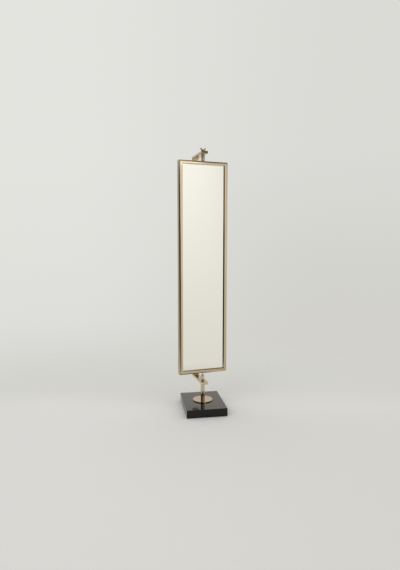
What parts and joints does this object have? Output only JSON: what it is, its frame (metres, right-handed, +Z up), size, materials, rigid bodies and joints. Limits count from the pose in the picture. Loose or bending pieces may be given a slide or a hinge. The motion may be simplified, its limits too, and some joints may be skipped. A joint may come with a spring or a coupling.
{
  "type": "free-standing dressing mirror",
  "caption": "Tall rectangular mirror in a deep brass frame, which swivels between the arms of a C-shaped tube bracket on a stone base, with a wing nut to clamp it.",
  "frame": {"origin": "on the axis of the post and pivots, in the plane of the base's underside", "axes": "+Z up along the post; X along the base's width, Y along its depth; the front is -Y, and at rest mirror and bracket are turned 9 degrees about +Z from it"},
  "size_m": [0.3514, 0.375, 1.8201],
  "materials": {
    "black_stone": "polished",
    "felt": "matte",
    "disc_brass": "polished",
    "polished_brass": "polished",
    "turned_brass": "turned and polished",
    "frame_brass": "polished",
    "raw_brass": "sawn and dull",
    "nut_brass": "cast and polished",
    "bronze": "sintered",
    "zinc_steel": "zinc plated",
    "slip_plastic": "matte",
    "seal_rubber": "matte",
    "silvered_glass": "silvered",
    "stained_board": "stained"
  },
  "bodies": {
    "base": {"base_block": "black_stone", "felt_pad": "felt", "flange_disc": "disc_brass", "post_tube": "polished_brass", "post_foot_plug": "turned_brass", "post_head_plug": "turned_brass", "tie_rod": "zinc_steel", "base_washer": "zinc_steel", "base_nut": "zinc_steel", "lower_slip_washer": "slip_plastic", "upper_slip_washer": "slip_plastic", "pivot_socket": "turned_brass", "thrust_disc": "bronze"},
    "bracket": {"lower_arm": "polished_brass", "upright": "polished_brass", "upper_arm": "polished_brass", "lower_arm_cap": "polished_brass", "upper_arm_cap": "polished_brass", "lower_arm_sleeve": "turned_brass", "upper_arm_sleeve": "turned_brass", "clamp_washer": "turned_brass"},
    "mirror": {"frame_left": "frame_brass", "frame_right": "frame_brass", "frame_top_rail": "frame_brass", "frame_bottom_rail": "frame_brass", "mirror_glass": "silvered_glass", "glass_seal": "seal_rubber", "backing_board": "stained_board", "edge_blocks": "raw_brass", "retainers": "zinc_steel", "retainer_screws": "zinc_steel", "lower_pivot_block": "raw_brass", "upper_pivot_block": "raw_brass", "lower_pin": "turned_brass", "upper_stud": "turned_brass", "upper_spacer": "turned_brass", "stud_slip_washer": "slip_plastic"},
    "wing_nut": {"wing_nut": "nut_brass"}
  },
  "joints": [
    {"name": "bracket_turn", "type": "hinge", "parent": "base", "child": "bracket", "pos_m": [0, 0, 0.192], "axis": [0, 0, 1], "continuous": true},
    {"name": "mirror_swivel", "type": "hinge", "parent": "bracket", "child": "mirror", "pos_m": [0, 0, 0.993], "axis": [0, 0, 1], "range_deg": [-73, 73]},
    {"name": "wing_nut_turn", "type": "hinge", "parent": "mirror", "child": "wing_nut", "pos_m": [0, 0, 1.8], "axis": [0, 0, 1], "continuous": true}
  ]
}
